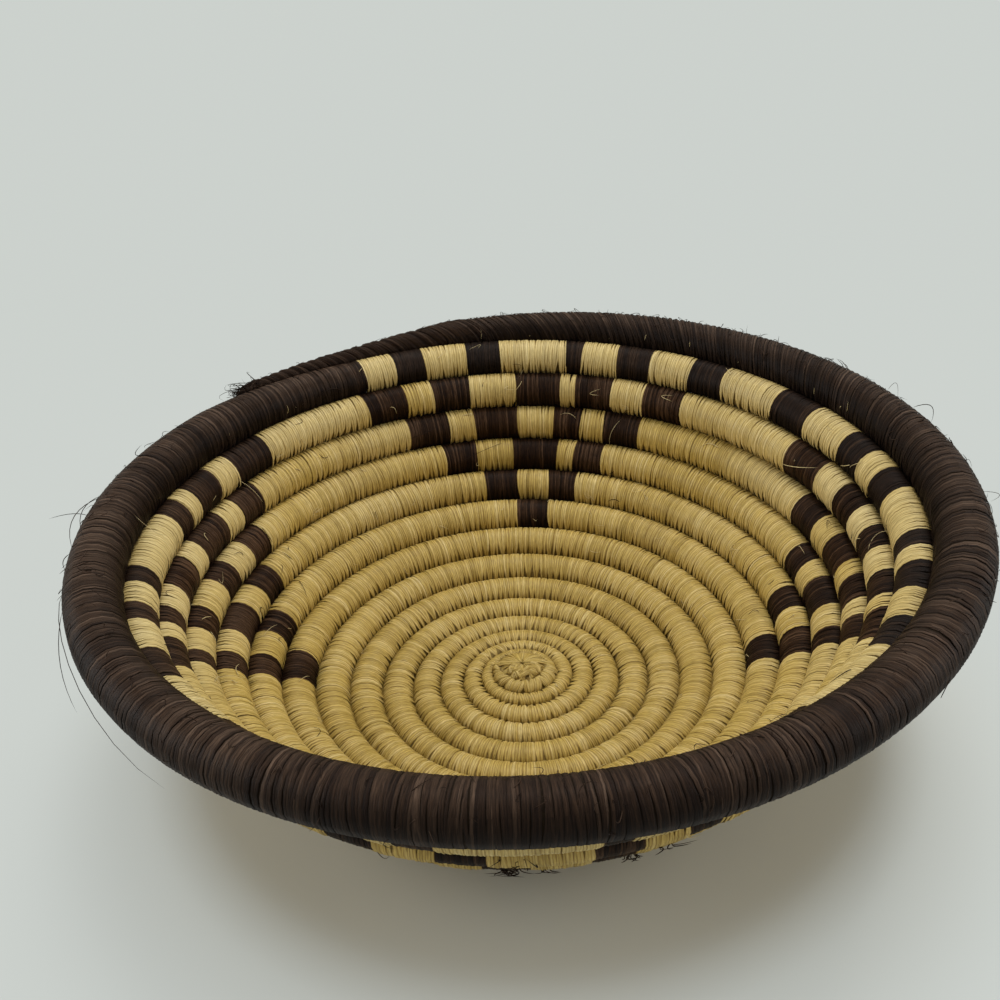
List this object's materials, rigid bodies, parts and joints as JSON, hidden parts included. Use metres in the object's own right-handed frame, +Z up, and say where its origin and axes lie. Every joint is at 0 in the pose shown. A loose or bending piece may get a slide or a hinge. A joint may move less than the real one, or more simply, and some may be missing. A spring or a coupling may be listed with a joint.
{
  "type": "woven basket bowl",
  "caption": "Round coiled basket bowl in wrapped grass, with stepped triangles climbing the flared wall to a dark rim.",
  "frame": {"origin": "under the middle of the bowl's outline, on the plane that it stands on", "axes": "+Z up through the open top; +X to the right and +Y to the back, as the bowl is seen with its loose rim end at the back left"},
  "size_m": [0.2503, 0.2548, 0.0839],
  "materials": {
    "natural_straw": "dry split leaf strands, lightly glossy",
    "dyed_brown": "dyed split leaf strands, lightly glossy",
    "dry_grass": "dry grass stems, matt"
  },
  "bodies": {
    "root": {"start_knot": "natural_straw", "base_wrapping": "natural_straw", "belly_wrapping": "natural_straw", "natural_wrapping_row_1": "natural_straw", "natural_wrapping_row_2": "natural_straw", "natural_wrapping_row_3": "natural_straw", "natural_wrapping_row_4": "natural_straw", "natural_wrapping_row_5": "natural_straw", "natural_wrapping_row_6": "natural_straw", "brown_strand_left_row_1": "dyed_brown", "brown_strand_front_row_1": "dyed_brown", "brown_strand_right_row_1": "dyed_brown", "brown_strand_back_row_1": "dyed_brown", "brown_strand_left_row_2": "dyed_brown", "brown_strand_front_row_2": "dyed_brown", "brown_strand_right_row_2": "dyed_brown", "brown_strand_back_row_2": "dyed_brown", "brown_strand_left_row_3": "dyed_brown", "brown_strand_front_row_3": "dyed_brown", "brown_strand_right_row_3": "dyed_brown", "brown_strand_back_row_3": "dyed_brown", "brown_strand_left_row_4": "dyed_brown", "brown_strand_front_row_4": "dyed_brown", "brown_strand_right_row_4": "dyed_brown", "brown_strand_back_row_4": "dyed_brown", "brown_strand_left_row_5": "dyed_brown", "brown_strand_front_row_5": "dyed_brown", "brown_strand_right_row_5": "dyed_brown", "brown_strand_back_row_5": "dyed_brown", "brown_strand_left_row_6": "dyed_brown", "brown_strand_front_row_6": "dyed_brown", "brown_strand_right_row_6": "dyed_brown", "brown_strand_back_row_6": "dyed_brown", "rim_wrapping": "dyed_brown", "rim_tail": "dyed_brown", "grass_core": "dry_grass"}
  },
  "joints": []
}
